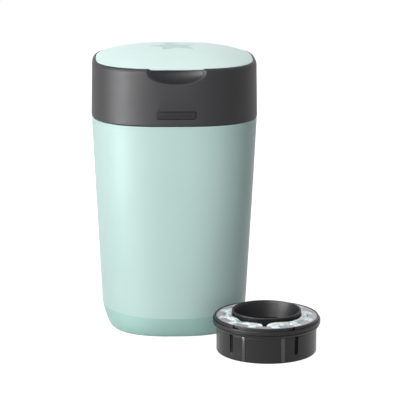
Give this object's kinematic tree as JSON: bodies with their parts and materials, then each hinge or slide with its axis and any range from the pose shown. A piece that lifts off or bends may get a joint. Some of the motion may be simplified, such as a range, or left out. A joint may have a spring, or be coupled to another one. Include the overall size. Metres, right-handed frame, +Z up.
{
  "type": "nappy bin",
  "caption": "Tall squared-oval nappy bin with a domed flip lid, a twist-and-click collar, film gripper and cutter, and its round film cassette standing beside it.",
  "frame": {"origin": "centre of the tub's flat base, on the floor", "axes": "+Z up, the front with the finger scoop and badge faces -Y, +X to the right seen along +Y"},
  "size_m": [0.3561, 0.4093, 0.4532],
  "materials": {
    "mint_plastic": "satin",
    "pale_mint_plastic": "satin",
    "grey_plastic": "satin",
    "badge_plastic": "gloss",
    "black_plastic": "satin",
    "flap_plastic": "matte",
    "film": "satin film",
    "seal_rubber": "matte",
    "steel": "bright"
  },
  "bodies": {
    "tub": {"tub": "mint_plastic"},
    "top_unit": {"collar": "grey_plastic", "badge": "badge_plastic", "chassis": "grey_plastic", "chassis_screws": "steel", "hinge_pin": "steel", "click_spring": "steel", "click_cap": "grey_plastic", "gripper_ring": "black_plastic"},
    "lid": {"lid": "pale_mint_plastic", "lid_star": "mint_plastic", "lid_liner": "pale_mint_plastic", "lid_seal": "seal_rubber", "lid_catch": "pale_mint_plastic"},
    "twist_ring": {"twist_ring": "grey_plastic"},
    "click_plunger": {"click_plunger": "black_plastic"},
    "film_cutter": {"film_cutter": "black_plastic", "cutter_blade": "steel"},
    "flap_1": {"gripper_flap_1": "flap_plastic"},
    "flap_2": {"gripper_flap_2": "flap_plastic"},
    "flap_3": {"gripper_flap_3": "flap_plastic"},
    "flap_4": {"gripper_flap_4": "flap_plastic"},
    "flap_5": {"gripper_flap_5": "flap_plastic"},
    "flap_6": {"gripper_flap_6": "flap_plastic"},
    "cassette": {"cassette_body": "black_plastic", "cassette_rim": "black_plastic", "cassette_funnel": "black_plastic", "film_pack": "film", "film_retainer": "flap_plastic"}
  },
  "joints": [
    {"name": "top_unit_lift", "type": "slide", "parent": "tub", "child": "top_unit", "axis": [0, 0, 1], "range_m": [0, 0.15]},
    {"name": "lid_hinge", "type": "hinge", "parent": "top_unit", "child": "lid", "pos_m": [0, 0.134, 0.4315], "axis": [-1, 0, 0], "range_deg": [0, 95]},
    {"name": "twist_spin", "type": "hinge", "parent": "top_unit", "child": "twist_ring", "pos_m": [0, 0, 0.4], "axis": [0, 0, 1], "continuous": true},
    {"name": "click_plunger_slide", "type": "slide", "parent": "top_unit", "child": "click_plunger", "axis": [0, 0, -1], "range_m": [0, 0.0018], "stiffness_N_per_m": 300, "springref_m": -0.002, "deforming": ["click_spring"]},
    {"name": "cutter_travel", "type": "hinge", "parent": "top_unit", "child": "film_cutter", "pos_m": [0, 0, 0.353], "axis": [0, 0, 1], "continuous": true},
    {"name": "gripper_flap_1_hinge", "type": "hinge", "parent": "top_unit", "child": "flap_1", "pos_m": [0.0702, 0, 0.337], "axis": [0, -1, 0], "range_deg": [0, 60], "stiffness_Nm_per_rad": 0.02, "springref_deg": -8.59},
    {"name": "gripper_flap_2_hinge", "type": "hinge", "parent": "top_unit", "child": "flap_2", "pos_m": [0.0351, 0.0608, 0.337], "axis": [0.866, -0.5, 0], "range_deg": [0, 60], "stiffness_Nm_per_rad": 0.02, "springref_deg": -8.59},
    {"name": "gripper_flap_3_hinge", "type": "hinge", "parent": "top_unit", "child": "flap_3", "pos_m": [-0.0351, 0.0608, 0.337], "axis": [0.866, 0.5, 0], "range_deg": [0, 60], "stiffness_Nm_per_rad": 0.02, "springref_deg": -8.59},
    {"name": "gripper_flap_4_hinge", "type": "hinge", "parent": "top_unit", "child": "flap_4", "pos_m": [-0.0702, 0, 0.337], "axis": [0, 1, 0], "range_deg": [0, 60], "stiffness_Nm_per_rad": 0.02, "springref_deg": -8.59},
    {"name": "gripper_flap_5_hinge", "type": "hinge", "parent": "top_unit", "child": "flap_5", "pos_m": [-0.0351, -0.0608, 0.337], "axis": [-0.866, 0.5, 0], "range_deg": [0, 60], "stiffness_Nm_per_rad": 0.02, "springref_deg": -8.59},
    {"name": "gripper_flap_6_hinge", "type": "hinge", "parent": "top_unit", "child": "flap_6", "pos_m": [0.0351, -0.0608, 0.337], "axis": [-0.866, -0.5, 0], "range_deg": [0, 60], "stiffness_Nm_per_rad": 0.02, "springref_deg": -8.59},
    {"name": "cassette_lift", "type": "slide", "parent": "tub", "child": "cassette", "axis": [0, 0, 1], "range_m": [0, 0.2]}
  ]
}
